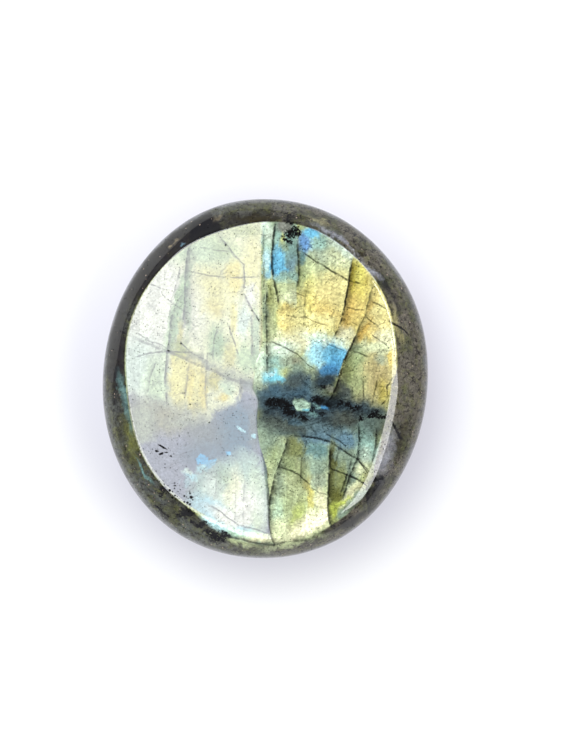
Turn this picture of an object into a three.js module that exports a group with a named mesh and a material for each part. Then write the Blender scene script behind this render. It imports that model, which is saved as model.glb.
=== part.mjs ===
// A polished labradorite palm stone, lying on its flat base with its polished face up.
// Millimetres, +Z up. +Y runs along the stone's long axis and +X across it.
// The origin is the middle of the stone's outline, at the height of the base.
//
// The surface is one uniform cubic B-spline over a cage of control points: COLUMNS of them
// go round the stone, and the rows climb from the middle of the base to the crown.

import * as THREE from 'three';

// Heights above the base
const GIRDLE_LOW = 5.2;
const GIRDLE_HIGH = 11;
const FACE_EDGE_HEIGHT = 16.35;
const CROWN_HEIGHT = 18;

// How far inside the widest outline the flat base ends, and where the rounding under it starts
const BASE_INSET = 7.5;
const BASE_ROUNDING_INSET = 5;
const LOWER_SIDE = { inset: 1.3, height: 1.5 };

// The upper side: shares of the rim's width, counted outwards from the face's edge
const SHOULDER = { share: 0.94, height: 13 };
const UPPER_SIDE = { share: 0.65, height: 14.35 };
const FACE_RIM = { share: 0.3, height: 15.5 };

// The face: where its turn into the rim starts, and its dome
const FACE_TURN = { inset: 1.2, height: 16.72 };
const FACE_BORDER = { inset: 5, height: 17.15 };
const DOME_MIDDLE = { share: 0.45, height: 17.75 };
const DOME_TOP = { share: 0.15, height: CROWN_HEIGHT };

// Radii from the middle of the stone, every 15 degrees anticlockwise from +X
const GIRDLE_RADII = [
  26.1, 26.5, 27.1, 27.6, 28.3, 28.8, 28.9, 29.0, 28.3, 27.4, 26.7, 26.2,
  26.3, 26.8, 27.5, 28.3, 29.0, 29.2, 29.1, 28.9, 28.4, 27.4, 26.6, 26.2,
];
const FACE_EDGE_RADII = [
  21.6, 22.1, 23.5, 24.1, 24.8, 25.7, 25.5, 24.9, 25.1, 24.6, 24.3, 23.7,
  22.8, 22.9, 23.8, 24.3, 24.5, 25.8, 26.8, 26.5, 26.1, 24.7, 22.6, 21.7,
];
const COLUMNS = GIRDLE_RADII.length;

// A ring of control points stands a little outside the curve that it makes
const RING_SHRINK = (2 + Math.cos((2 * Math.PI) / COLUMNS)) / 3;

// Facets along each span between two control points
const STEPS_ROUND = 3;
const STEPS_UP = 3;

const STONE_COLOUR = 0x8a8c6e;

// One control point of each row, at column j, as a radius and a height
function controlColumn(j) {
  const girdle = GIRDLE_RADII[j];
  const edge = FACE_EDGE_RADII[j];
  const rim = girdle - edge;
  return [
    [0, 0],
    [girdle / 2, 0],
    [girdle - BASE_INSET, 0],
    [girdle - BASE_ROUNDING_INSET, 0],
    [girdle - LOWER_SIDE.inset, LOWER_SIDE.height],
    [girdle, GIRDLE_LOW],
    [girdle, GIRDLE_HIGH],
    [edge + SHOULDER.share * rim, SHOULDER.height],
    [edge + UPPER_SIDE.share * rim, UPPER_SIDE.height],
    [edge + FACE_RIM.share * rim, FACE_RIM.height],
    [edge, FACE_EDGE_HEIGHT],
    [edge - FACE_TURN.inset, FACE_TURN.height],
    [edge - FACE_BORDER.inset, FACE_BORDER.height],
    [edge * DOME_MIDDLE.share, DOME_MIDDLE.height],
    [edge * DOME_TOP.share, DOME_TOP.height],
    [0, CROWN_HEIGHT],
  ];
}

const CAGE = Array.from({ length: COLUMNS }, (_, j) => controlColumn(j));
const LAST_ROW = CAGE[0].length - 1;

// The control point at any column and row. Past the base's middle or the crown, the rows come
// back down on the stone's other side.
function controlPoint(column, row) {
  const overBase = row < 0;
  const overCrown = row > LAST_ROW;
  const across = overBase || overCrown ? COLUMNS / 2 : 0;
  const j = (column + across + COLUMNS) % COLUMNS;
  const i = overBase ? -row : overCrown ? 2 * LAST_ROW - row : row;
  const [radius, height] = CAGE[j][i];
  const angle = (2 * Math.PI * j) / COLUMNS;
  const reach = radius / RING_SHRINK;
  return new THREE.Vector3(reach * Math.cos(angle), reach * Math.sin(angle), height);
}

// Weights of four neighbouring control points, t of the way along the span between the middle two
function splineWeights(t) {
  const s = 1 - t;
  return [s ** 3, 3 * t ** 3 - 6 * t ** 2 + 4, 3 * s ** 3 - 6 * s ** 2 + 4, t ** 3].map((w) => w / 6);
}

function surfacePoint(column, row) {
  const point = new THREE.Vector3();
  const [firstColumn, firstRow] = [Math.floor(column), Math.floor(row)];
  const roundWeights = splineWeights(column - firstColumn);
  const upWeights = splineWeights(row - firstRow);
  roundWeights.forEach((roundWeight, a) => {
    upWeights.forEach((upWeight, b) => {
      const control = controlPoint(firstColumn + a - 1, firstRow + b - 1);
      point.addScaledVector(control, roundWeight * upWeight);
    });
  });
  return point;
}

// Rings of points from the base to the crown, closed by a fan of triangles at each end
function stoneGeometry() {
  const around = COLUMNS * STEPS_ROUND;
  const rings = LAST_ROW * STEPS_UP - 1;
  const points = [surfacePoint(0, 0)];
  for (let ring = 1; ring <= rings; ring++) {
    for (let k = 0; k < around; k++) points.push(surfacePoint(k / STEPS_ROUND, ring / STEPS_UP));
  }
  points.push(surfacePoint(0, LAST_ROW));

  const at = (ring, k) => 1 + (ring - 1) * around + (k % around);
  const crown = points.length - 1;
  const faces = [];
  for (let k = 0; k < around; k++) {
    faces.push(0, at(1, k + 1), at(1, k));
    for (let ring = 1; ring < rings; ring++) {
      faces.push(at(ring, k), at(ring, k + 1), at(ring + 1, k + 1));
      faces.push(at(ring, k), at(ring + 1, k + 1), at(ring + 1, k));
    }
    faces.push(at(rings, k), at(rings, k + 1), crown);
  }

  const geometry = new THREE.BufferGeometry().setFromPoints(points);
  geometry.setIndex(faces);
  geometry.computeBoundingBox();
  const middle = geometry.boundingBox.getCenter(new THREE.Vector3());
  geometry.translate(-middle.x, -middle.y, 0);
  geometry.computeVertexNormals();
  return geometry;
}

const polish = new THREE.MeshStandardMaterial({
  color: STONE_COLOUR,
  roughness: 0.12,
  metalness: 0,
  flatShading: true,
});

const palmStone = new THREE.Mesh(stoneGeometry(), polish);
palmStone.name = 'palm_stone';

const stone = new THREE.Group();
stone.add(palmStone);

export default stone;
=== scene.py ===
# A polished labradorite palm stone, lying on a pale table and seen from straight above.
# Every size is in metres unless a name says millimetres. +Z is up, +Y is the stone's long axis.

import functools
import math
from collections import namedtuple

import bpy
from mathutils import Matrix, Vector


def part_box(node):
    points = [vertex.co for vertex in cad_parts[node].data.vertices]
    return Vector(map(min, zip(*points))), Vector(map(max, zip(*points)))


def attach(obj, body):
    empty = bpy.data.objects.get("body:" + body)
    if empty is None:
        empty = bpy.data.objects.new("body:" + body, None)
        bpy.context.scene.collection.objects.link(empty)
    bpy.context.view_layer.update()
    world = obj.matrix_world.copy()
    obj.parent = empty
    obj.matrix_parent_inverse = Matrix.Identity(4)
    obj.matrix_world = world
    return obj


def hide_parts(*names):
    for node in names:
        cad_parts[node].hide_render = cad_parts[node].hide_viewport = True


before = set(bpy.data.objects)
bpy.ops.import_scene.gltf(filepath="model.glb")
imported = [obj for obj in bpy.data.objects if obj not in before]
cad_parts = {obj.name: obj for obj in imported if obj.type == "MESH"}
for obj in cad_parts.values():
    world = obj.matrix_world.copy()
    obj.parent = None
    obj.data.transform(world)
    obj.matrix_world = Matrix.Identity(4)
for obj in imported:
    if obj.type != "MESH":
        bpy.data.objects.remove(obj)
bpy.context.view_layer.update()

MM = 0.001

# Shape of the stone, in millimetres, as in the part's source
GIRDLE_LOW = 5.2
GIRDLE_HIGH = 11
FACE_EDGE_HEIGHT = 16.35
CROWN_HEIGHT = 18
BASE_MIDDLE_SHARE = 0.5
BASE_INSET = 7.5
BASE_ROUNDING_INSET = 5
LOWER_SIDE_INSET = 1.3
LOWER_SIDE_HEIGHT = 1.5
SHOULDER_SHARE = 0.94
SHOULDER_HEIGHT = 13
UPPER_SIDE_SHARE = 0.65
UPPER_SIDE_HEIGHT = 14.35
FACE_RIM_SHARE = 0.3
FACE_RIM_HEIGHT = 15.5
FACE_TURN_INSET = 1.2
FACE_TURN_HEIGHT = 16.72
FACE_BORDER_INSET = 5
FACE_BORDER_HEIGHT = 17.15
DOME_MIDDLE_SHARE = 0.45
DOME_MIDDLE_HEIGHT = 17.75
DOME_TOP_SHARE = 0.15
DOME_TOP_HEIGHT = 17.972

# Radii from the middle of the stone, every 15 degrees anticlockwise from +X
GIRDLE_RADII = (
    26.1, 26.5, 27.1, 27.6, 28.3, 28.8, 28.9, 29.0, 28.3, 27.4, 26.7, 26.2,
    26.3, 26.8, 27.5, 28.3, 29.0, 29.2, 29.1, 28.9, 28.4, 27.4, 26.6, 26.2,
)
FACE_EDGE_RADII = (
    21.6, 22.1, 23.5, 24.1, 24.8, 25.7, 25.5, 24.9, 25.1, 24.6, 24.3, 23.7,
    22.8, 22.9, 23.8, 24.3, 24.5, 25.8, 26.8, 26.5, 26.1, 24.7, 22.6, 21.7,
)
COLUMNS = len(GIRDLE_RADII)

# A ring of control points stands a little outside the curve that it makes
RING_SHRINK = (2 + math.cos(2 * math.pi / COLUMNS)) / 3

SMOOTHING_LEVELS = 4

# The polish leaves a faint hollow in the face, which bends the edge of the light mirrored beside it
HOLLOW_PLACE = (3.2 * MM, -6 * MM)
HOLLOW_SPREAD = 4.5 * MM
HOLLOW_DEPTH = 0.067 * MM


def deselect_all():
    bpy.ops.object.select_all(action="DESELECT")


def column_profile(girdle, edge):
    """The rings that one column of the stone passes, from the base to the crown, as radius and height."""
    rim = girdle - edge
    return [
        (girdle * BASE_MIDDLE_SHARE, 0),
        (girdle - BASE_INSET, 0),
        (girdle - BASE_ROUNDING_INSET, 0),
        (girdle - LOWER_SIDE_INSET, LOWER_SIDE_HEIGHT),
        (girdle, GIRDLE_LOW),
        (girdle, GIRDLE_HIGH),
        (edge + SHOULDER_SHARE * rim, SHOULDER_HEIGHT),
        (edge + UPPER_SIDE_SHARE * rim, UPPER_SIDE_HEIGHT),
        (edge + FACE_RIM_SHARE * rim, FACE_RIM_HEIGHT),
        (edge, FACE_EDGE_HEIGHT),
        (edge - FACE_TURN_INSET, FACE_TURN_HEIGHT),
        (edge - FACE_BORDER_INSET, FACE_BORDER_HEIGHT),
        (edge * DOME_MIDDLE_SHARE, DOME_MIDDLE_HEIGHT),
        (edge * DOME_TOP_SHARE, DOME_TOP_HEIGHT),
    ]


PROFILES = [column_profile(girdle, edge) for girdle, edge in zip(GIRDLE_RADII, FACE_EDGE_RADII)]
RINGS = len(PROFILES[0])

# The rings start as a plain tube with its rings this far apart
RING_SPACING = 10 * MM
TUBE_RADIUS = 25 * MM

# The two open ends are the only points at their height this near the middle
OPEN_END_REACH = 16 * MM
TINY = 1e-6


def stack_rings():
    """A tube with a ring for each step of the profile."""
    deselect_all()
    bpy.ops.mesh.primitive_circle_add(vertices=COLUMNS, radius=TUBE_RADIUS, fill_type="NOTHING")
    tube = bpy.context.object
    bpy.ops.object.mode_set(mode="EDIT")
    bpy.ops.mesh.select_all(action="SELECT")
    for _ in range(RINGS - 1):
        bpy.ops.mesh.extrude_region_move(TRANSFORM_OT_translate={"value": (0, 0, RING_SPACING)})
    bpy.ops.object.mode_set(mode="OBJECT")
    return tube


def ring_of(vertex):
    return round(vertex.co.z / RING_SPACING)


def column_of(vertex):
    angle = math.atan2(vertex.co.y, vertex.co.x)
    return round(angle * COLUMNS / (2 * math.pi)) % COLUMNS


def place_rings(tube):
    """Moves each ring's points to the stone's own outline and height."""
    for vertex in tube.data.vertices:
        column = column_of(vertex)
        radius, height = PROFILES[column][ring_of(vertex)]
        angle = 2 * math.pi * column / COLUMNS
        reach = radius / RING_SHRINK * MM
        vertex.co = (reach * math.cos(angle), reach * math.sin(angle), height * MM)


def close_end(stone, height):
    """Fills the open end at this height with a grid of small squares, so that no point has many edges."""
    mesh = stone.data
    for element in (*mesh.vertices, *mesh.edges, *mesh.polygons):
        element.select = False
    at_end = {
        vertex.index for vertex in mesh.vertices
        if abs(vertex.co.z - height) < TINY and vertex.co.xy.length < OPEN_END_REACH
    }
    for edge in mesh.edges:
        edge.select = at_end.issuperset(edge.vertices)
    bpy.ops.object.mode_set(mode="EDIT")
    bpy.ops.mesh.select_mode(type="EDGE")
    bpy.ops.mesh.fill_grid(span=COLUMNS // 4)
    bpy.ops.object.mode_set(mode="OBJECT")


def fit_to_frame(stone):
    """Centres the stone as the CAD solid is, and keeps it inside the solid's box."""
    low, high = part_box("palm_stone")
    size = high - low
    corners = [vertex.co for vertex in stone.data.vertices]
    own_low = Vector([min(c[axis] for c in corners) for axis in range(3)])
    own_high = Vector([max(c[axis] for c in corners) for axis in range(3)])
    own_size = own_high - own_low
    ratio = min(1, *(size[axis] / own_size[axis] for axis in range(3)))
    middle = (own_low + own_high) / 2
    stone.data.transform(Matrix.Translation((-middle.x, -middle.y, -own_low.z)))
    stone.data.transform(Matrix.Scale(ratio, 4))
    stone.data.transform(Matrix.Translation(((low.x + high.x) / 2, (low.y + high.y) / 2, low.z)))


def raise_crown(stone):
    """Lifts the points inside the top ring onto the dome, whose drop grows with the square of the reach."""
    drop = CROWN_HEIGHT - DOME_TOP_HEIGHT
    ring_reach = DOME_TOP_SHARE * sum(FACE_EDGE_RADII) / COLUMNS / RING_SHRINK * MM
    for vertex in stone.data.vertices:
        if vertex.co.z > (DOME_TOP_HEIGHT - drop) * MM:
            share = vertex.co.xy.length / ring_reach
            vertex.co.z = (CROWN_HEIGHT - drop * min(share, 1) ** 2) * MM


def smooth_out(stone):
    """Turns the cage into the smooth surface that it stands for."""
    smoothing = stone.modifiers.new("smooth surface", "SUBSURF")
    smoothing.levels = SMOOTHING_LEVELS
    smoothing.render_levels = SMOOTHING_LEVELS
    bpy.ops.object.modifier_apply(modifier=smoothing.name)
    bpy.ops.object.shade_smooth()


def press_hollow(stone):
    """Lowers the top points near the hollow, by a bell curve of their distance from it."""
    middle = Vector(HOLLOW_PLACE)
    for vertex in stone.data.vertices:
        if vertex.co.z > GIRDLE_HIGH * MM:
            apart = (vertex.co.xy - middle).length / HOLLOW_SPREAD
            vertex.co.z -= HOLLOW_DEPTH * math.exp(-apart ** 2 / 2)


def make_stone():
    stone = stack_rings()
    stone.name = "polished_stone"
    place_rings(stone)
    close_end(stone, 0)
    close_end(stone, DOME_TOP_HEIGHT * MM)
    raise_crown(stone)
    bpy.ops.object.mode_set(mode="EDIT")
    bpy.ops.mesh.select_all(action="SELECT")
    bpy.ops.mesh.normals_make_consistent(inside=False)
    bpy.ops.object.mode_set(mode="OBJECT")
    smooth_out(stone)
    fit_to_frame(stone)
    press_hollow(stone)
    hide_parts("palm_stone")
    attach(stone, "root")
    return stone


# Shader maths

def is_vector(value):
    return isinstance(value, tuple) or (isinstance(value, Wire) and value.socket.type == "VECTOR")


def combine(operation, *values):
    """A Math node over these values, or a Vector Math node if one of them is a vector."""
    wire = next(value for value in values if isinstance(value, Wire))
    kind = "VectorMath" if any(map(is_vector, values)) else "Math"
    return wire.node(kind, {"operation": operation}, dict(enumerate(values)))


class Wire:
    """A socket of a material, written into sums like a number."""

    def __init__(self, socket):
        self.socket = socket

    def node(self, kind, settings=None, values=None, output=0):
        """Adds a node of this type, with its settings and the values or links of its sockets."""
        tree = self.socket.id_data
        made = tree.nodes.new("ShaderNode" + kind)
        for name, setting in (settings or {}).items():
            if name == "curve":
                draw_curve(made.mapping, setting)
            else:
                setattr(made, name, setting)
        for name, value in (values or {}).items():
            if isinstance(value, Wire):
                tree.links.new(value.socket, made.inputs[name])
            else:
                made.inputs[name].default_value = value
        return Wire(made.outputs[output])

    def __add__(self, other):
        return combine("ADD", self, other)

    def __radd__(self, other):
        return combine("ADD", other, self)

    def __sub__(self, other):
        return combine("SUBTRACT", self, other)

    def __rsub__(self, other):
        return combine("SUBTRACT", other, self)

    def __mul__(self, other):
        return combine("MULTIPLY", self, other)

    def __rmul__(self, other):
        return combine("MULTIPLY", other, self)

    def times_plus(self, factor, shift):
        return combine("MULTIPLY_ADD", self, factor, shift)

    def most(self, other):
        return combine("MAXIMUM", self, other)

    def least(self, other):
        return combine("MINIMUM", self, other)

    def size(self):
        """How long this vector is."""
        return self.node("VectorMath", {"operation": "LENGTH"}, {0: self}, "Value")

    def part(self, axis):
        return self.node("SeparateXYZ", None, {0: self}, axis)

    def turned(self, degrees):
        """This place in axes turned anticlockwise about the upright one."""
        settings = {"rotation_type": "Z_AXIS"}
        return self.node("VectorRotate", settings, {"Vector": self, "Angle": -math.radians(degrees)})

    def step(self, low, high, most=1):
        """0 at low and the most at high, turning smoothly between them. It falls where low is over high."""
        settings = {"interpolation_type": "SMOOTHSTEP", "clamp": False}
        values = {"Value": self, "From Min": low, "From Max": high, "To Max": most}
        return self.node("MapRange", settings, values)

    def follow(self, points):
        """What a curve through these points gives for this value."""
        return self.node("FloatCurve", {"curve": points}, {"Value": self})

    def noise(self, scale, detail=2, roughness=0.5, output=0):
        """Cloudy noise over this place: its value, or its colour if output is 1."""
        values = {"Vector": self, "Scale": scale, "Detail": detail, "Roughness": roughness}
        return self.node("TexNoise", None, values, output)

    def cells(self, scale, feature="F1"):
        """Cells around scattered points: how far the nearest point is, or the nearest border."""
        return self.node("TexVoronoi", {"feature": feature}, {"Vector": self, "Scale": scale})

    def lots(self, scale):
        """A random vector from 0 to 1 for each of the same cells."""
        return self.node("TexVoronoi", None, {"Vector": self, "Scale": scale}, 1)

    def blend(self, under, over):
        """One colour over another, as far as this mask lets it through."""
        return self.node("Mix", {"data_type": "RGBA"}, {0: self, 6: under, 7: over}, 2)


# A curve is opened this wide before its range is set, because its lower end can't pass its upper one
WIDEST_CURVE = 100

# Where a point of a curve is added, before it is moved to its own place
NEW_POINT = (0.5, 0.5)


def draw_curve(mapping, points):
    """Straight stretches between the points, which stay level past the ends."""
    points = sorted(points)
    mapping.extend = "HORIZONTAL"
    mapping.use_clip = False
    mapping.clip_min_x, mapping.clip_max_x = -WIDEST_CURVE, WIDEST_CURVE
    mapping.clip_min_x, mapping.clip_max_x = points[0][0], points[-1][0]
    curve = mapping.curves[0]
    for _ in points[2:]:
        curve.points.new(*NEW_POINT)
    for point, (across, up) in zip(curve.points, points):
        point.location = (across, up)
        point.handle_type = "VECTOR"
    mapping.update()


# What a white surface would give back on the right and left half of the face, and on the rim
FACE_LIGHT = (1.74, 1.8, 1.92)
VEILED_LIGHT = (1.93, 1.95, 2.17)
RIM_LIGHT = (1.5, 1.55, 1.63)

# What the polish adds: the softbox over the left half of the face, the room on the rim, or nothing
VEIL = (0.345, 0.36, 0.386)
RIM_GLEAM = (0.022, 0.022, 0.024)
NO_GLEAM = (0, 0, 0)

# No paint is darker than this
DARKEST = 0.002


def linear(byte):
    """A value from 0 to 255 on a screen as light from 0 to 1, by the sRGB formula."""
    return ((byte / 255 + 0.055) / 1.055) ** 2.4


def paints(looks, light, gleam):
    """The shader colours of places that should look like this, from 0 to 255, in this light."""
    colours = {}
    for name, look in looks.items():
        parts = [(linear(byte) - added) / white for byte, added, white in zip(look, gleam, light)]
        colours[name] = (*(max(part, DARKEST) for part in parts), 1)
    return colours


# Looks of places that no softbox is mirrored in, as red, green and blue. Past 255, one is brighter than
# the screen's white.
LOOKS = {
    # The glow is partly flash and partly a painted highlight, brighter than white
    "glow": (284, 284, 238), "cream": (242, 243, 198), "butter": (251, 245, 172),
    "pale gold": (246, 235, 162), "gold": (236, 216, 132), "amber": (224, 192, 102),
    "brown gold": (196, 166, 86), "old gold": (172, 158, 74), "lemon": (232, 226, 120),
    "saffron": (204, 190, 78), "khaki": (200, 192, 136), "sand": (188, 176, 124), "tan": (150, 138, 112),
    "green gold": (186, 196, 132), "lime": (198, 214, 100), "leaf": (172, 190, 138),
    "moss": (142, 152, 100), "olive": (116, 120, 62), "pistachio": (202, 216, 166),
    "pale pistachio": (226, 236, 190), "pale mint": (222, 242, 218), "mint": (192, 226, 200),
    "grey green": (172, 188, 160), "sage": (148, 170, 148), "seafoam": (158, 196, 182),
    "ice": (204, 246, 248), "cyan": (170, 224, 236), "aqua": (132, 214, 232), "azure": (118, 192, 224),
    "strong blue": (98, 172, 212), "cornflower": (112, 158, 206), "deep blue": (76, 140, 186),
    "teal": (118, 156, 154), "blue grey": (112, 146, 162), "steel": (94, 124, 136),
    "slate blue": (74, 104, 120), "slate": (70, 90, 98), "dark slate": (52, 68, 76),
    "stone grey": (130, 134, 124), "fern grey": (88, 104, 98), "ash": (84, 92, 84),
    "umber": (62, 58, 42), "ink": (36, 46, 50), "soot": (32, 30, 20), "black": (8, 10, 12),
    # The first two colours here are a painted highlight and a painted sheen for the rim
    "rim highlight": (172, 176, 188), "rim sheen": (152, 155, 164), "rim brown": (112, 108, 98),
    "rim grey": (98, 102, 98), "rim olive": (90, 92, 76), "rim dark": (50, 48, 36),
    "rim night": (48, 46, 48), "fleck": (176, 158, 142),
}
CLEAR = paints(LOOKS, FACE_LIGHT, NO_GLEAM)
ON_RIM = paints(LOOKS, RIM_LIGHT, RIM_GLEAM)

# The left half lies under the mirrored softbox, so these are its looks with that light over them
VEILED = paints({
    "white": (251, 253, 247), "ivory": (247, 250, 226), "straw": (248, 244, 200),
    "honey": (246, 236, 186), "khaki": (222, 220, 184), "reed": (196, 208, 180),
    "pale mint": (226, 240, 220), "mint": (206, 224, 202), "milk": (236, 248, 240),
    "frost": (232, 244, 238), "ice": (204, 238, 250), "azure": (166, 214, 250),
    "haze": (202, 219, 216), "pearl": (202, 208, 200), "warm grey": (196, 197, 188),
    "mauve": (186, 190, 202), "blue grey": (164, 179, 192), "dusk": (176, 183, 186),
}, VEILED_LIGHT, VEIL)

# Marks in the crystal: the middle of each, in millimetres from the middle of the face, how far it reaches
# each way, its turn in degrees, how soft its edge is and how strong it is
Patch = namedtuple("Patch", "colour x y reach_x reach_y turn edge strength", defaults=(0, 0.6, 1))


def field_of(*rows):
    return [Patch(*row) for row in rows]


def black_marks(*rows):
    return [Patch("black", *row) for row in rows]


# The flash right of the veil, from the upper end of the stone down
MINT_STRIP = field_of(
    ("pistachio", 0, 13, 1.4, 12),
    ("mint", 0.3, 21.5, 0.9, 4.4, 0, 0.4),
    ("pale mint", 0.6, 23.4, 0.6, 1.8),
    ("ice", 0.3, 19.0, 0.8, 1.5),
    ("azure", 0.8, 17.8, 0.35, 1.0, 0, 0.5),
    ("cyan", 0.3, 16.7, 0.7, 0.7),
    ("leaf", -0.7, 18, 0.22, 7, 0, 0.5, 0.8),
    ("green gold", 0.8, 13.4, 0.6, 2.6, 0, 0.5),
    ("sage", 0.0, 10.6, 0.4, 3.2, 0, 0.8, 0.7),
    ("mint", -0.4, 2.0, 1.0, 2.2),
)
UPPER_FIELD = field_of(
    ("seafoam", 3, 21.6, 3, 4.4),
    ("stone grey", 2.9, 24.3, 1.4, 1.0, 0, 0.5),
    ("green gold", 2.5, 22.0, 0.5, 1.5, 0, 0.5),
    ("teal", 4.0, 19.6, 1.2, 1.9, 0, 0.5, 0.4),
    ("azure", 2.1, 18.6, 1.2, 2.7, 0, 0.4),
    ("strong blue", 1.8, 18.0, 0.5, 1.3, 0, 0.6, 0.4),
    ("moss", 3.0, 20.7, 0.6, 0.7, 0, 0.7, 0.6),
    ("blue grey", 4.3, 17.8, 0.9, 1.8, 0, 0.7, 0.8),
    ("azure", 3.1, 17.3, 0.6, 0.8, 0, 0.7),
    ("seafoam", 3.5, 15.9, 1.9, 0.9),
    ("pistachio", 3.7, 14.3, 2.0, 1.2),
    ("pale pistachio", 4.2, 12.8, 2.2, 1.0),
)
RIGHT_FIELD = field_of(
    ("seafoam", 8.2, 21.6, 3.2, 2.2, -15, 0.6),
    ("grey green", 8.0, 19.2, 3.4, 1.4),
    ("leaf", 6.3, 17.4, 1.5, 2.2, 0, 0.8, 0.9),
    ("pistachio", 9.6, 17.0, 3.4, 1.5, -15),
    ("pale pistachio", 12.4, 19.4, 2.6, 2.2, -30),
    ("pale mint", 12.0, 21.0, 2.8, 0.8, -45),
    ("cornflower", 6.3, 21.6, 1.1, 1.7, 0, 0.4),
    ("azure", 7.4, 23.5, 1.7, 0.8, -15, 0.5),
    ("leaf", 5.7, 24.2, 0.6, 0.5),
    ("teal", 5.9, 19.5, 0.7, 1.1),
    ("butter", 12.0, 15.0, 2.6, 2.2, 0, 0.8),
    ("pale gold", 9.4, 12.4, 3.6, 3.6),
    ("gold", 8.8, 11.6, 2.8, 1.2, -15, 0.9, 0.7),
    ("amber", 9.8, 10.4, 2.2, 0.7, -15, 0.9, 0.45),
    ("lemon", 6.9, 12.6, 0.7, 3.2, 0, 0.9, 0.4),
    ("butter", 7.6, 8.4, 3.8, 1.9),
    ("amber", 8.2, 8.9, 2.0, 0.4, -15, 0.9, 0.25),
    ("amber", 11.6, 8.6, 0.6, 1.8, -15, 0.9, 0.4),
)
WARM_CENTRE = field_of(
    ("butter", 3.6, 8.8, 3.2, 2.4),
    ("gold", 3.0, 11.2, 1.9, 1.1, 0, 0.8, 0.7),
    ("gold", 2.0, 8.0, 2.0, 1.6, 0, 0.9, 0.8),
    ("green gold", 1.4, 9.8, 0.8, 3.0, 0, 0.7),
    ("pistachio", 1.4, 6.2, 1.3, 2.0, 0, 0.7),
    ("old gold", 1.0, 12.2, 0.45, 2.6, 0, 0.8, 0.6),
)
LAYERED_FIELD = field_of(
    ("gold", 14.4, 12, 2.4, 6, -15),
    ("lemon", 15.0, 17.2, 1.3, 2.4, -15),
    ("lemon", 14.8, 14.4, 1.5, 1.8, 0, 0.8, 0.7),
    ("amber", 13.8, 11.6, 0.8, 2.8, -15, 0.8, 0.5),
    ("brown gold", 12.8, 9.4, 0.7, 1.8, -15, 0.8, 0.7),
    ("saffron", 14.0, 16.6, 0.5, 2.6, 0, 0.7),
    ("brown gold", 13.7, 15.4, 0.2, 2.6, 0, 0.7, 0.6),
    ("old gold", 16.0, 15.5, 0.4, 0.9, -15, 0.7, 0.6),
    ("cream", 12.8, 6.9, 1.4, 1.3, -15),
    ("pale mint", 12.0, 5.3, 1.3, 1.1),
)
EAST_FIELD = field_of(
    ("khaki", 17, 1, 5, 6),
    ("butter", 18.6, 11.8, 2.6, 3.0, 30),
    ("gold", 17.2, 12.6, 0.8, 2.2, -15, 0.8, 0.7),
    ("amber", 16.5, 10.8, 0.4, 1.8, -15, 0.8, 0.6),
    ("pale gold", 18.4, 9.0, 2.2, 1.9),
    ("amber", 15.9, 7.8, 0.8, 1.9, -30, 0.7),
    ("gold", 17.4, 7.2, 1.3, 1.0),
    ("cream", 19.0, 6.4, 1.6, 1.6),
    ("pale pistachio", 17.6, 4.9, 2.6, 1.0),
    ("sage", 14.4, 4.8, 0.9, 0.9, 0, 0.7, 0.8),
    ("leaf", 14.2, 3.0, 1.7, 2.2, -15, 0.7),
    ("moss", 13.0, 2.6, 0.7, 2.0, -15, 0.7, 0.5),
    ("sand", 18.4, 0.4, 1.5, 2.6, 0, 0.8, 0.9),
    ("gold", 20.1, 3.6, 0.5, 1.7, 0, 0.6),
    ("grey green", 18.4, 3.1, 0.9, 1.0, 0, 0.7, 0.8),
    ("moss", 13.1, 0.2, 1.1, 2.4, -15, 0.7),
    ("ash", 12.6, -2.0, 1.5, 1.6, 0, 0.7),
    ("leaf", 14.9, -0.8, 1.2, 1.8, 0, 0.8, 0.8),
    ("saffron", 18.7, -2.2, 1.0, 1.9, 0, 0.8, 0.6),
)
MIDDLE_FIELD = field_of(
    ("grey green", -0.6, -0.4, 1.8, 3.4, 0, 0.4),
    ("pale mint", -0.8, 2.4, 1.3, 2.4, 0, 0.5, 0.5),
    ("cream", 5.4, 6.0, 3.6, 1.6),
    ("pale mint", 2.6, 4.6, 2.4, 1.4),
    ("seafoam", 1.8, 2.6, 2.0, 1.2),
    ("grey green", 4.6, 2.8, 2.0, 1.0),
    ("sage", 5.4, 1.4, 1.8, 1.0),
    ("tan", 5.0, 3.0, 0.8, 0.5, 0, 0.8, 0.5),
    ("pale mint", 9.2, 6.2, 2.8, 1.0, -15),
    ("cyan", 8.2, 3.9, 1.6, 2.1, 0, 0.5),
    ("azure", 10.1, 3.6, 1.3, 2.0, 0, 0.6, 0.8),
    ("azure", 11.5, 3.6, 1.9, 1.8, -30, 0.4),
    ("strong blue", 11.1, 2.2, 1.3, 1.4, -15, 0.6),
    ("deep blue", 10.0, 1.0, 1.9, 0.9, 0, 0.6),
    ("cyan", 8.2, 2.2, 0.6, 0.6),
    ("aqua", 1.1, 0.2, 1.4, 1.1, 0, 0.6, 0.95),
    ("aqua", 2.5, -0.2, 0.8, 0.5, -15, 0.4, 0.9),
    ("ice", 0.9, 0.7, 0.6, 0.3),
)
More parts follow.
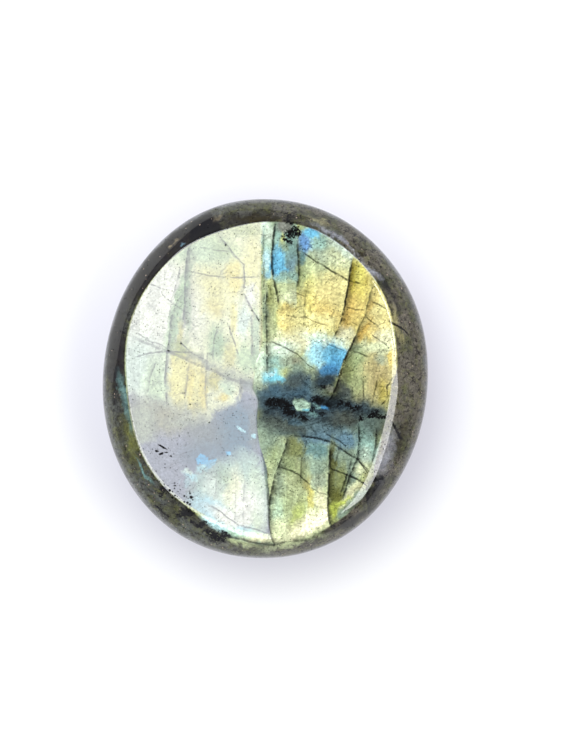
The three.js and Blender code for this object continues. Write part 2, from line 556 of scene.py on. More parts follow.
DARK_BAND = field_of(
    ("slate", 3.6, -3.6, 6.6, 2.8, 0, 0.4),
    ("fern grey", 2.4, -7.4, 4.6, 2.5, 0, 0.4),
    ("fern grey", 10, -7.4, 6.0, 2.6, 0, 0.4),
    ("fern grey", 16.2, -6.6, 3.4, 2.0, 0, 0.5, 0.9),
    ("slate", 10.6, -5.0, 8.0, 2.2, 0, 0.5),
    ("slate blue", 3.4, -1.8, 3.8, 1.0),
    ("slate blue", 5.6, -0.3, 2.4, 1.2),
    ("slate blue", 7.4, -1.6, 1.7, 1.4, 0, 0.8, 0.6),
    ("dark slate", 9.6, -0.5, 2.1, 1.3),
    ("stone grey", 10.2, -1.8, 0.9, 0.4, -15, 0.5, 0.7),
    ("dark slate", 2.6, -5.4, 3.4, 1.3, 0, 0.7),
    ("dark slate", 8.6, -4.6, 2.6, 1.1, 0, 0.7),
    ("ink", 10.9, -3.7, 1.9, 1.1, -15, 0.8, 0.8),
    ("ash", 13.6, -6.4, 3.2, 1.1),
    ("ash", 5.0, -0.4, 2.4, 1.0, 30, 0.8, 0.7),
    ("ash", 1.4, -7.2, 2.2, 1.2, 0, 0.8, 0.6),
    ("dark slate", 16.8, -5.6, 2.4, 0.8, 0, 0.7, 0.8),
    ("steel", 4.6, -7.0, 1.2, 0.45, -15),
    ("teal", 7.6, -5.8, 0.7, 0.35, -15),
    ("deep blue", 9.4, -4.7, 0.8, 0.3, -15),
    ("teal", 8.2, -4.5, 0.5, 0.35),
    ("ash", 5.2, -8.4, 2.4, 0.7, -15, 0.7, 0.8),
    ("blue grey", 11.0, -9.0, 4.2, 1.2, -15, 0.8, 0.6),
    ("sage", -0.4, -9.4, 1.6, 1.8, 0, 0.7, 0.8),
    ("mint", 5.95, -4.1, 1.35, 1.0, -15, 0.2),
    ("aqua", 6.6, -4.8, 0.5, 0.25, 15),
)
LOW_FIELD = field_of(
    ("pistachio", 4, -20, 9, 9.8, 0, 0.12),
    ("sage", 1.0, -11.2, 2.4, 2.0),
    ("moss", 2.0, -11.6, 1.6, 1.2, 0, 0.9, 0.5),
    ("leaf", 1.4, -12.8, 1.0, 1.8, 0, 0.8, 0.8),
    ("steel", 7.0, -9.8, 2.6, 1.0, 0, 0.7, 0.8),
    ("blue grey", 8.8, -9.8, 2.2, 1.0, 0, 0.7, 0.7),
    ("teal", 8.2, -11.8, 2.4, 1.6),
    ("moss", 4.8, -11.2, 1.3, 1.6),
    ("sage", 8.2, -14.2, 2.2, 1.8),
    ("grey green", 8.6, -16.4, 1.7, 1.2),
    ("leaf", 3.6, -13.8, 1.5, 1.4),
    ("sage", 2.2, -16.6, 0.9, 2.8, 0, 0.8, 0.7),
    ("moss", 5.8, -15.4, 1.2, 2.2, 0, 0.9, 0.6),
    ("mint", 1.8, -21.4, 1.2, 2.4, 0, 0.8, 0.7),
    ("pale pistachio", 2.4, -24.2, 2.6, 1.8),
    ("mint", -5.0, -25.2, 5.5, 1.8, -15, 0.5),
    ("ice", -8.2, -23.6, 2.4, 1.0, -30),
    ("cream", -0.8, -25.7, 2.6, 0.6, 0, 0.8),
    ("leaf", 3.6, -20.2, 1.2, 2.2, 0, 0.8, 0.5),
    ("lime", 5.2, -22.2, 0.9, 2.6, -15, 0.8, 0.6),
    ("saffron", 7.2, -19.2, 0.5, 1.9, 0, 0.5, 0.6),
    ("old gold", 6.7, -17.4, 0.6, 1.4, 0, 0.7, 0.5),
    ("cream", 8.9, -19.6, 1.1, 2.0),
    # These three are partly flash and partly a painted highlight: the bright glow along the lower edge of the
    # face
    ("cream", 7.2, -23.2, 4.0, 1.5, 30, 0.5),
    ("glow", 8.4, -22.6, 3.2, 0.9, 30, 0.4),
    ("glow", 5.4, -24.5, 2.4, 0.5, 30, 0.6, 0.5),
)
SOUTH_EAST_FIELD = field_of(
    ("sage", 14, -13.8, 5, 5.6, 0, 0.15),
    ("blue grey", 13.0, -9.7, 1.9, 1.4, 0, 0.5),
    ("olive", 10.7, -15.4, 0.5, 5.2, 0, 0.4, 0.9),
    ("moss", 12.0, -16.4, 1.0, 2.8),
    ("olive", 11.4, -18.8, 0.9, 1.3),
    ("seafoam", 16.4, -9.8, 1.6, 3.0),
    ("pale mint", 16.2, -12.4, 0.9, 1.6, 0, 0.7, 0.6),
    ("pale pistachio", 15.8, -14.8, 1.4, 1.4),
    ("lime", 15.2, -16.2, 0.9, 0.6, 30, 0.8, 0.5),
    ("pale pistachio", 14.2, -17.2, 1.2, 0.7, 45),
    ("cream", 14.2, -18.2, 3.1, 0.7, 45, 0.7, 0.9),
    ("lime", 12.4, -19.8, 1.8, 0.45, 30, 0.6, 0.9),
    ("lime", 11.0, -21.2, 0.9, 1.4, 0, 0.5),
    ("sage", 14.4, -19.4, 3.2, 0.6, 45, 0.8, 0.9),
    ("ash", 15.0, -20.3, 3.6, 0.8, 45, 0.8),
    ("olive", 17.0, -15.4, 3.2, 0.8, 45, 0.7, 0.7),
    ("sage", 12.2, -21.8, 1.2, 0.6, 30),
    ("moss", 18.0, -8.0, 0.8, 1.4, 0, 0.7, 0.8),
    ("fern grey", 17.4, -7.5, 2.2, 1.8, 0, 0.6, 0.9),
    ("umber", 19.4, -8.0, 0.9, 2.2, -15, 0.8, 0.7),
)

# The flash under the veil: the upper left, the grey below it and the bright end
LEFT_FIELD = field_of(
    ("white", -19, 10, 6.5, 10.5, -15, 0.3),
    ("frost", -20.5, 1.5, 3.4, 5),
    ("pale mint", -13.4, 20.6, 3.0, 1.6, 30),
    ("pale mint", -17.4, -0.6, 2.0, 4.2),
    ("mint", -14.2, 10.4, 1.1, 7.2, -15, 0.4, 0.9),
    ("pale mint", -9.2, 20.4, 3.8, 2.6, -15),
    ("honey", -4.9, 16.2, 1.3, 2.8, 0, 0.4, 0.8),
    ("straw", -8.2, 14.2, 2.6, 3.4, 0, 0.8, 0.8),
    ("honey", -8.0, 11.0, 1.4, 1.2, 0, 0.9, 0.6),
    ("white", -11, 10, 1.4, 4.6, 0, 0.8, 0.6),
    ("straw", -5.1, 9.8, 0.6, 2.6, 0, 0.5, 0.9),
    ("straw", -2.0, 18.5, 1.5, 5.0, 0, 0.8, 0.7),
    ("reed", -6.4, 20.8, 2.4, 1.6, -30, 0.8, 0.5),
    ("reed", -3.0, 23.8, 3.2, 1.2, 0, 0.8, 0.6),
    ("white", -2.3, 13.2, 0.9, 2.0),
    ("frost", -3.4, 9, 1.0, 2.6, 0, 0.5),
    ("pale mint", -1.5, 6.6, 0.7, 4.4, 0, 0.4),
    ("mint", -1.5, 2.6, 0.8, 1.8),
    ("mint", -12.4, 12.6, 0.5, 5.6, 0, 0.7, 0.7),
    ("khaki", -13.6, 6.6, 0.5, 2.2, 0, 0.5, 0.8),
    ("straw", -13.6, 0.2, 1.6, 5.2, 0, 0.3),
    ("straw", -11, -1.4, 1.5, 4.4, 0, 0.3),
    ("honey", -11.9, -0.6, 0.5, 4.2, 0, 0.6, 0.7),
    ("honey", -9.9, -1.6, 0.5, 3.2, 0, 0.6, 0.7),
    ("khaki", -8.2, -0.2, 1.3, 1.6),
    ("pale mint", -5.9, -1.4, 1.2, 1.6, 0, 0.5),
    ("honey", -6.8, -2.9, 0.8, 0.6, 0, 0.7),
    ("mint", -7.6, 5.4, 1.4, 2.6, 0, 0.7),
    ("khaki", -5.6, 3.6, 1.2, 2.6, 0, 0.7, 0.8),
    ("mint", -3.2, 3.2, 1.2, 2.6, 0, 0.6, 0.8),
    ("khaki", -12.6, 4.2, 2.2, 0.5, -30, 0.8, 0.7),
    ("reed", -13.9, 4.8, 1.7, 1.6, 0, 0.7, 0.7),
    ("dusk", -12.5, -5.4, 5.0, 1.4, -15, 0.9, 0.5),
    ("dusk", -10.2, 2.9, 2.6, 0.6, -30, 0.8, 0.6),
    ("pearl", -5.6, 0.5, 1.8, 1.3, -15, 0.8, 0.8),
    ("dusk", -2.6, -1.0, 1.6, 1.2, -15, 0.8, 0.9),
)
GREY_FIELD = field_of(
    ("warm grey", -16.5, -6, 5, 2.4, -15),
    ("pearl", -19.6, -7.4, 2.2, 3.6),
    ("pearl", -12.6, -6.9, 2.6, 0.9, 0, 0.8, 0.8),
    ("mauve", -18.6, -10.8, 1.8, 0.8),
    ("mauve", -15.6, -14.6, 3.0, 4.0, 30, 0.8, 0.6),
    ("blue grey", -4.6, -8.6, 3.6, 4.4),
    ("dusk", -9.6, -8.8, 2.6, 2.6, 0, 0.8, 0.8),
    ("blue grey", -9.6, -12.2, 3.4, 2.0, 0, 0.8, 0.7),
    ("dusk", -1.6, -8.0, 0.9, 3.2, 0, 0.8, 0.8),
    ("pearl", -8.7, -4.9, 0.9, 0.8),
    ("azure", -10.1, -12.9, 0.75, 0.8, -30, 0.2),
    ("azure", -9.0, -13.5, 1.3, 0.5, 30, 0.2),
    ("ice", -10.2, -14.3, 0.8, 0.6, 0, 0.4),
    ("azure", -5.7, -11.8, 0.6, 0.4, -30, 0.3, 0.9),
    ("ice", -3.9, -8.1, 0.8, 0.25, -30, 0.4),
    ("ice", -2.0, -9.2, 0.35, 0.3, 0, 0.4),
    ("haze", -2.4, -12.6, 2.0, 0.8, -30, 0.8, 0.7),
    ("ice", -11.6, -15.6, 1.5, 0.7, -30, 0.5),
    ("milk", -12.4, -14.9, 0.7, 0.5, 0, 0.6, 0.8),
    ("ice", -12.5, -16.8, 0.6, 0.6, 0, 0.6, 0.5),
)
FLASH_FIELD = field_of(
    ("haze", -5.4, -17.6, 6.6, 5.0, 15, 0.25),
    ("milk", -4.4, -20.9, 5.6, 4.4, 15, 0.4),
    ("pale mint", -1.6, -16.6, 1.4, 2.4, 0, 0.8, 0.7),
    ("ivory", -5.0, -18, 1.3, 3.4, 0, 0.7),
    ("white", -3.0, -21.4, 2.0, 3.8),
    ("frost", -8.4, -17.2, 1.2, 2.2, 0, 0.6),
    ("mint", -6.6, -16.2, 1.0, 1.8, 0, 0.9, 0.6),
    ("ice", -8.8, -20.8, 3.2, 1.5, -30),
    ("ice", -4.0, -24.2, 3.4, 0.9, -15, 0.7, 0.9),
    ("pale mint", -1.2, -23.4, 1.2, 2.0, 0, 0.8, 0.8),
    ("white", -6.4, -22.0, 2.4, 1.1, -30, 0.6),
    ("white", -8.8, -20.9, 1.8, 0.7, -30, 0.8, 0.35),
)

# Seams and cracks. Their points run up the stone, or across it from the left. The next three numbers say
# how dark a line is on its left or lower side, in its core and on its right or upper side, and the last
# how far its shade reaches.
Line = namedtuple("Line", "points left core right reach", defaults=(0, 3, 0, 0.5))

UPRIGHT_LINES = {
    "first seam": Line(
        [(2.3, 11.3), (2.0, 13), (1.75, 14), (1.35, 16), (1.15, 17.2), (1.05, 18.4), (1.15, 20.5),
         (1.6, 25.3)],
        0.2, 2.4, 0.4, 0.5),
    "strip edge": Line([(-0.2, 8), (-0.2, 16), (-0.35, 25)], 0.5, 0.8, 0.1, 0.5),
    "twin seam": Line([(0.35, 1), (0.2, 7.7), (0.15, 11), (0.3, 15)], 0, 1.7, 0.9, 0.8),
    "blue seam": Line([(5.0, 14.4), (5.4, 16.5), (5.3, 18.6), (5.1, 22.1)], 0.2, 2.0, 0.7, 0.5),
    "blue fold": Line([(2.7, 16), (2.8, 18), (2.8, 20.4)], 0, 0.4, 0.2, 0.8),
    "step": Line([(6.2, 8), (6.1, 9.8), (6.3, 12.5), (6.9, 15.7)], 0, 0.7, 0.3, 0.6),
    "gold seam": Line(
        [(10.2, 5.8), (11.0, 6.7), (11.8, 8.2), (12.4, 10.2), (12.9, 13), (13.3, 15), (13.5, 17),
         (14, 19.4)],
        0, 2.1, 0.8, 0.8),
    "gold seam middle": Line([(12.5, 10.4), (12.9, 13), (13.3, 15), (13.6, 17.8)], 0, 1.0, 0.3, 0.5),
    "amber seam": Line(
        [(9.8, -4), (10.6, -2.9), (11.3, -1.6), (11.6, 0), (12.2, 2.2), (13.2, 4.3), (14.3, 6.5), (15.3, 8.8),
         (16.0, 10.2), (16.4, 12), (17.3, 15.2)],
        0, 1.3, 0.7, 0.8),
    "amber shade": Line(
        [(9.8, -4), (10.6, -2.9), (11.8, 0), (12.4, 2.2), (13.3, 4.3), (14.6, 7)],
        0, 1.9, 0.6, 0.8),
    "low seam": Line(
        [(0.7, -20.4), (0.85, -18.8), (1.5, -15.9), (2.1, -14.2), (2.7, -12.5), (3.2, -11), (3.7, -9.2)],
        0, 2.2, 1.2, 0.9),
    "low seam end": Line(
        [(1.5, -27.2), (1.4, -26.3), (0.9, -25.2), (0.7, -23.5), (0.7, -19)],
        0, 1.3, 0.5, 0.6),
    "faint seam": Line([(5.6, -17), (5.8, -13), (6.4, -11), (6.7, -9.5)], 0.1, 0.9, 0.3, 0.5),
    "cream seam": Line(
        [(10.8, -24.4), (10.2, -22.6), (10.0, -20.8), (10.1, -17.5), (10.25, -14), (10.4, -10.3)],
        0, 2.2, 1.1, 0.7),
    "short seam": Line([(11.1, -14), (11.5, -12.4), (11.9, -10.6)], 0, 1.0, 0.3, 0.4),
    "inner seam": Line([(12.0, -18.4), (13.0, -15.5), (13.9, -12.8)], 0, 1.6, 0.5, 0.5),
    "east seam": Line(
        [(12.3, -19.2), (13.1, -17), (13.5, -15.5), (14.8, -12.5), (15.0, -10), (14.9, -7.2)],
        0, 2.2, 0.8, 0.5),
    "edge seam": Line([(17.0, -13.5), (17.6, -11), (17.8, -7.7)], 0, 1.4, 0.5, 0.4),
    "long grey": Line(
        [(-13.3, 7.7), (-13.0, 10), (-12.8, 13), (-12.8, 16), (-12.5, 19), (-12.1, 21.8)],
        0.1, 1.5, 0.9, 0.7),
    "cream edge": Line(
        [(-15.6, -5), (-16.0, 0), (-15.7, 4), (-15.2, 7), (-15.0, 9.7), (-14.2, 12), (-13, 13.8)],
        0, 1.4, 0.7, 0.5),
    "white edge": Line([(-15.4, 9.2), (-15.0, 12.4), (-14.1, 15.4), (-13.4, 18.4)], 0, 0.7, 0.3, 0.4),
    "wedge": Line([(-18.8, -2.4), (-18.3, 0.4), (-17.4, 2.8)], 0.3, 0.9, 0, 0.6),
    "honey edge": Line([(-12.9, -3.5), (-12.4, 0), (-12.2, 2.4)], 0.4, 0.8, 0.1, 0.4),
    "tan edge": Line([(-9.3, -5), (-9.6, -2), (-9.4, 1), (-9.2, 4.5)], 0.1, 0.8, 0.4, 0.6),
    "mint edge": Line([(-8.4, 3), (-8.2, 6), (-7.6, 8.4)], 0, 0.8, 0.2, 0.5),
    "jagged crack": Line(
        [(-0.6, 8.7), (-1.4, 10), (-2.1, 10.9), (-3.5, 13.8), (-3.3, 15.4), (-3.4, 18.2), (-4.8, 19.6),
         (-6.0, 21.2), (-7.8, 23.3)],
        0.4, 1.3, 0, 0.5),
    "short crack": Line([(-4.3, 3.6), (-4.8, 5.5), (-5.5, 7.2), (-5.8, 8.6)], 0.1, 1.2, 0, 0.3),
    "grey edge": Line([(-2.1, 3.3), (-2.1, 7), (-2.2, 10.5)], 0.1, 1.0, 0.5, 0.5),
    "small edge": Line([(-4.1, -3.2), (-3.9, 0.2)], 0, 0.8, 0.6, 0.5),
    "low left": Line([(-8.0, -19), (-7.7, -15)], 0, 0.4, 0.2, 0.5),
    "low middle": Line([(-4.8, -23), (-4.7, -15.5)], 0, 0.4, 0.2, 0.4),
    "low right": Line([(-3.4, -25), (-3.6, -20), (-3.2, -16)], 0, 0.5, 0.2, 0.5),
    "veil seam": Line([(0.55, -26), (0.5, -20), (0.3, -14)], 0, 0.9, 0.5, 0.4),
    "thread": Line([(15.7, -3.2), (15.6, -0.2)], 0, 1.2, 0, 0.3),
    "second thread": Line([(17.1, -4.2), (17.5, -2), (17.9, -0.2)], 0, 1.2, 0.2, 0.3),
    "ochre crack": Line(
        [(18.2, -4.6), (19.3, -3.4), (19.6, -2.6), (19.4, -1.4), (20.4, 0.3)],
        0, 1.6, 0.2, 0.4),
    "rim seam": Line([(16.7, -21.6), (16.3, -19), (16.2, -17.2)], 0, 2.4, 1.4, 1.6),
    "far rim crack": Line([(21.8, -9.8), (21.2, -8.8), (20.6, -7.6), (20.0, -6.8)], 0, 2.6, 0.4, 0.4),
}

LEVEL_LINES = {
    "long crack": Line(
        [(-22, 7), (-19.6, 5.9), (-17.6, 5.1), (-15.4, 4.2), (-13, 3.3), (-11.4, 2.4), (-9.6, 1.8),
         (-7.9, 1.1), (-5.9, 0), (-3.7, -0.6), (-1.2, -0.9)],
        0.7, 0.8, 0.7, 0.3),
    "second crack": Line([(-20.6, 7.5), (-18.6, 6), (-16.5, 5.4), (-15.4, 4.5)], 0, 0.9, 0, 0.3),
    "dotted crack": Line(
        [(-20.8, 3.4), (-18.4, 4.1), (-15.5, 4.3), (-12, 4.2), (-10.2, 3.3), (-8.8, 2.6)],
        0, 1.2, 0, 0.3),
    "fork": Line([(-13.6, 5.9), (-12, 4.3)], 0, 1.6, 0, 0.25),
    "faint crack": Line(
        [(-12.4, 17.2), (-10.2, 16.7), (-8.8, 16.4), (-5.6, 16.1), (-1, 16.2)],
        0, 0.9, 0, 0.25),
    "top crack": Line([(-10.6, 21), (-8, 20.5), (-5.9, 20.3)], 0, 0.8, 0, 0.3),
    "west crack": Line([(-18.4, 15.1), (-16, 14.2)], 0, 1.0, 0, 0.3),
    "hook": Line([(-16.6, 14), (-16.3, 13.2), (-15.9, 12.9)], 0, 1.4, 0, 0.25),
    "diagonal crack": Line([(-15.8, 12.8), (-14.2, 11.6), (-13, 10.8), (-11.9, 10.3)], 0, 1.0, 0, 0.3),
    "right crack": Line(
        [(5.6, 20.4), (7.1, 19.4), (8, 18.7), (9.5, 17.9), (10.8, 17), (12, 16.4), (13.3, 15.6),
         (15.5, 15.1)],
        0, 2.0, 0.2, 0.35),
    "wisp": Line([(3.6, 14.3), (5, 13.6), (6.4, 13.1)], 0, 0.9, 0, 0.3),
    "gold crack": Line([(2.9, 10.3), (4.2, 9.9), (5.5, 9.7), (6.3, 9.9), (8, 9), (10, 8.5)], 0, 0.9, 0, 0.3),
    "amber crack": Line([(16.9, 12.2), (18.2, 11.8), (19.5, 11)], 0, 1.2, 0, 0.25),
    "bent crack": Line([(12.3, 9.6), (13.5, 9.2), (14.8, 8.4)], 0, 0.9, 0, 0.3),
    "high crack": Line([(12.9, 11.4), (14.4, 11.0), (15.8, 10.9)], 0, 1.0, 0, 0.3),
    "east crack": Line([(16.2, 9.7), (17.2, 8.9), (18.2, 8.3)], 0, 1.1, 0, 0.25),
    "low east crack": Line([(16.9, 7.1), (18.4, 6.0), (19.6, 5.2)], 0, 1.1, 0, 0.25),
    "blue crack": Line([(0.8, 6), (3, 5), (5.1, 3.9), (6.8, 2.2), (8, 1.4)], 0, 1.2, 0, 0.35),
    "blue edge": Line([(8.6, 6.2), (10.4, 5.3), (12.8, 4.4)], 0, 0.7, 0, 0.3),
    "olive crack": Line([(13.3, 4.3), (15, 4.1), (16.8, 3.3)], 0, 1.0, 0, 0.3),
    "low crack": Line(
        [(4.3, -9.1), (7, -9.3), (8.6, -9.6), (10.3, -10.1), (11.5, -10.8), (13.2, -12), (14.6, -12.8),
         (16.9, -15.1)],
        0.1, 1.9, 0.4, 0.4),
    "upper low crack": Line([(9.6, -8.8), (12, -10), (13, -11)], 0, 1.2, 0, 0.3),
    "deep crack": Line([(2.2, -14.1), (4.2, -14.7), (5.4, -15.4), (7.2, -17.0)], 0, 1.5, 0.1, 0.3),
    "glow crack": Line([(13.4, -15.5), (15, -16.2), (16.4, -17.3)], 0, 2.0, 0, 0.3),
    "green crack": Line([(10.3, -14.3), (11.6, -14.8), (13.4, -15.5)], 0, 1.5, 0, 0.3),
    "mint crack": Line([(14.9, -13.2), (16.5, -15.2)], 0, 1.5, 0, 0.3),
    "pale crack": Line([(7.2, -17.3), (8.6, -18.2), (10, -18.6)], 0, 0.9, 0, 0.25),
    "bottom crack": Line(
        [(-9.4, -20.1), (-7.6, -20.9), (-6, -22.2), (-4.2, -23.4), (-1.4, -24.1), (0.7, -24.9)],
        0, 1.2, 0, 0.3),
    "lower edge": Line(
        [(-7.8, -25.2), (-5, -25.4), (-2, -26.2), (1.2, -26.6), (4, -26.0), (7.6, -25.9)],
        0, 1.6, 0.8, 0.5),
    "rim crack": Line([(19.5, 9.3), (21, 8.5), (22.2, 7.8), (23.1, 6.8)], 0, 2.4, 0, 0.35),
    "corner crack": Line([(17.3, -15.6), (18.2, -16.5)], 0, 2.4, 0, 0.3),
    "corner edge": Line([(16.3, -17.2), (17.2, -16.4), (19, -15.9)], 0, 2.6, 1.2, 0.8),
    "left rim crack": Line([(-23.4, 7.7), (-22.3, 7.2)], 0, 2.0, 0, 0.3),
}

# Where grit darkens the stone, as a patch whose colour is not used
GRITTY = Patch("black", 7.6, -4.8, 11.5, 4.4)

# Black inclusions, with edges that stay crisp
BLOTS = black_marks(
    (4.3, 23.2, 1.1, 0.8, 15), (3.8, 25.1, 0.7, 0.35, -30),
    (5.2, 23.4, 0.6, 0.5, 15), (3.4, 22.1, 0.9, 0.25, -45),
    (4.9, 24.2, 0.4, 0.3), (3.6, 26.2, 1.1, 0.16, -15),
    (3.5, 23.3, 0.4, 0.3), (4.2, 21.8, 0.3, 0.25),
    (1.7, -3.8, 1.7, 0.8), (3.2, -4.3, 1.0, 0.7),
    (4.2, -4.3, 0.5, 0.2), (3.9, -5.4, 1.2, 0.5, -15),
    (8.4, -3.4, 1.1, 0.6, -15), (9.2, -1.3, 0.5, 0.35, 15),
    (6.1, -6.2, 0.9, 0.3, -30), (7.5, -4.9, 0.25, 0.4, -30),
    (9.9, -4.3, 0.5, 0.3, -45), (9.2, -5.6, 0.6, 0.2, 15),
    (11.8, -4.2, 0.5, 0.16, 15), (13.0, -4.1, 1.2, 0.34, -30),
    (14.4, -4.7, 1.0, 0.4, 15), (15.4, -6.4, 0.5, 0.4, 30),
    (17.3, -5.7, 1.1, 0.4, 30), (18.5, -6.1, 1.3, 0.3),
    (20.4, -7.3, 0.6, 0.16, -45), (21.5, -9.1, 0.6, 0.16, -60),
    (14.6, 22.9, 0.8, 0.14, -30), (15.6, 22.3, 0.8, 0.16, -30),
    (12.9, 23.7, 0.4, 0.14, -45), (17.3, 20.6, 0.7, 0.1, -45),
    (-12.5, -21.4, 1.2, 0.7, -15), (-13.7, -21.9, 0.7, 0.35, 15),
    (-16.2, -17.7, 0.7, 0.5, -15), (-16.6, -18.6, 0.35, 0.45),
    (-17.3, -20.6, 0.8, 0.25, -15), (-16.6, -21.4, 0.6, 0.3, -45),
    (-16.0, -22.3, 0.45, 0.3), (-11.6, -22.8, 0.4, 0.3),
    (-10.3, -23.3, 1.1, 0.4, 15), (-8.9, -24.6, 1.0, 0.5, -15),
    (-7.6, -25.3, 1.6, 0.7, -15), (-6.4, -24.8, 0.9, 0.4, -30),
    (-8.2, -26.2, 1.0, 0.2, -15),
)

# Pits that break the polish, so that no softbox mirrors in them, and the part where more are scattered.
# Pits are painted black, as painted shade in their hollows.
PITTED = Patch("black", -13.8, -18.3, 3.2, 1.5, -30)
PITS = black_marks(
    (-16.4, -10.9, 0.8, 0.14, -30), (-17.3, -11.6, 0.26, 0.16),
    (-16.6, -12.0, 0.36, 0.18, 15), (-15.8, -11.8, 0.3, 0.12),
    (-11.8, -18.9, 0.24, 0.22, 30), (-12.0, -20.1, 0.16, 0.2),
    (-14.4, -17.1, 0.26, 0.1), (-15.0, -12.4, 0.16, 0.12),
    (-1.2, 9.5, 0.5, 0.08, -60), (-2.1, 10.8, 0.14, 0.12),
    (-3.7, 13.4, 0.12, 0.14), (-6.3, 21.3, 0.14, 0.18),
    (-13.4, 5.6, 0.14, 0.14), (-15.4, 4.4, 0.24, 0.12),
    (-12.0, -4.1, 0.14, 0.14), (-8.9, -7.0, 0.16, 0.1),
)

# Shade, tints and painted highlights on the rim
RIM_PATCHES = field_of(
    ("rim night", -18.2, 17.8, 12, 2.6, 45, 0.5, 0.85),
    ("rim night", -23.9, 5.0, 1.9, 8.4, 0, 0.5, 0.8),
    ("rim night", -23.4, 1.6, 0.7, 3.6, 0, 0.8, 0.6),
    ("black", -9.7, 23.6, 2.9, 2.1, 30, 0.25, 0.97),
    ("rim dark", -3.0, 25.2, 5.0, 1.2, 0, 0.7, 0.7),
    ("umber", -1.5, 25.6, 3.4, 0.5, 0, 0.6),
    ("tan", -14.2, 21.9, 0.6, 0.3, 45, 0.8, 0.8),
    ("tan", -15.1, 20.9, 0.4, 0.25, 45, 0.8, 0.8),
    ("tan", -7.4, 25.8, 0.7, 0.35, 30, 0.9, 0.5),
    ("blue grey", -13.2, 21.6, 0.3, 0.16, 45, 0.8, 0.8),
    ("teal", -22.5, -2.4, 0.5, 3, 15, 0.7, 0.6),
    ("olive", -21.4, -10, 0.8, 3, 15, 0.9, 0.6),
    ("teal", -19.3, -14.8, 0.3, 2.0, 30, 0.6, 0.8),
    ("teal", -22.0, -6.0, 0.4, 2.2, 15, 0.8, 0.5),
    ("khaki", 8.4, 25.3, 1.6, 0.3, -15, 0.8, 0.6),
    ("stone grey", 9.6, 24.3, 3, 0.6, -30, 0.8, 0.6),
    ("umber", 15.2, 19.9, 0.8, 0.4, 15, 0.6),
    ("soot", 19.4, 14.6, 0.6, 2.4, 30, 0.8, 0.8),
    ("soot", 21.0, 11.4, 0.4, 1.8, 15, 0.8, 0.4),
    ("khaki", 21.1, 8.6, 0.4, 2.4, 15, 0.8, 0.6),
    ("umber", 21.6, -9.6, 0.9, 3, -15, 0.9, 0.7),
    ("soot", 17.8, -17.6, 1.0, 2.6, -45, 0.7, 0.9),
    ("soot", 13.6, -22.8, 3.2, 0.7, 30, 0.7, 0.9),
    # Painted highlights: reflections along the fold, painted into the rim's colour
    ("rim highlight", 10.4, 23.2, 2.2, 0.35, -30, 0.9, 0.6),
    ("rim highlight", 13.2, 21.1, 1.8, 0.3, -45, 0.9, 0.6),
    ("rim highlight", 17.0, 17.3, 1.8, 0.3, -45, 0.9, 0.6),
    ("rim highlight", 19.6, -11.8, 0.8, 3.6, -15, 0.9, 0.5),
    ("rim highlight", 18.2, -13.6, 0.6, 2.0, -30, 0.9, 0.35),
    ("pistachio", -4.6, -26.0, 3.4, 0.5, -15, 0.8, 0.7),
    ("pistachio", 4.6, -26.2, 4.4, 0.5, 15, 0.8, 0.7),
)


# Where the mirrored softbox ends on the face, and where the flash gives way to grey on its left half
VEIL_EDGE = [
    (0.8, -26), (0.6, -18), (0.2, -14), (-0.9, -10.5), (-1.25, -8), (-1.25, -4), (-1.5, -2.7), (-1.9, -1.6),
    (-1.9, -0.6), (-1.65, 0.6), (-1.6, 2.2), (-1.35, 3.1), (-0.8, 4.2), (-0.4, 6), (-0.5, 12), (-0.8, 25),
]
GREY_SHORE = [
    (-22, -2.3), (-19, -3.2), (-16, -4.1), (-15.2, -5), (-12.5, -6.1), (-9, -6.8), (-7.8, -4.8), (-5.5, -4),
    (-4.3, -3.3), (-3.4, -1.4), (0, -2.4),
]

# Height at which the mirrored softbox ends, from the lower end of the stone up
VEIL_ENDS = [(-25, 16.75), (-19, 16.5)]

# Half the width over which the veil, a block of flash and the grey turn into what lies beside them
VEIL_BLUR = 0.1
VEIL_END_BLUR = 0.05
BLOCK_BLUR = 0.05
SHORE_BLUR = 1.3

# Height at which the flash ends: higher on the right, and fading further down where it glows in the rim with
# a painted highlight
FLASH_ENDS = (16.44, 16.52)
FLASH_FRAY = 0.1
RIGHT_EDGE = [(15.5, 0), (17.6, 1)]
RIGHT_EDGE_RISES = [(-18, 0), (-14, 0.24), (-1, 0.24), (2, 0.05), (12, 0.05), (15, 0)]
GLOW_FADES = 0.5
GLOW_SPAN = [(-14, 0), (-9, 1), (6, 1), (11, 0)]
GLOW_ROWS = [(-25, 1), (-20, 0)]

# A painted highlight, a pale line, runs along the lower left of the face's edge, between these heights
EDGE_HIGHLIGHT = (16.605, 16.575)
EDGE_HIGHLIGHT_ROWS = [(-21, 0), (-19, 0.6), (-6, 0.6), (-3, 0)]

# How far out a mark turns from nothing to its full strength, with 1 at its reach
CRISP_EDGE = (1.3, 0.8)
GRITTY_EDGE = (1.1, 0.5)
PITTED_EDGE = (1.1, 0.8)


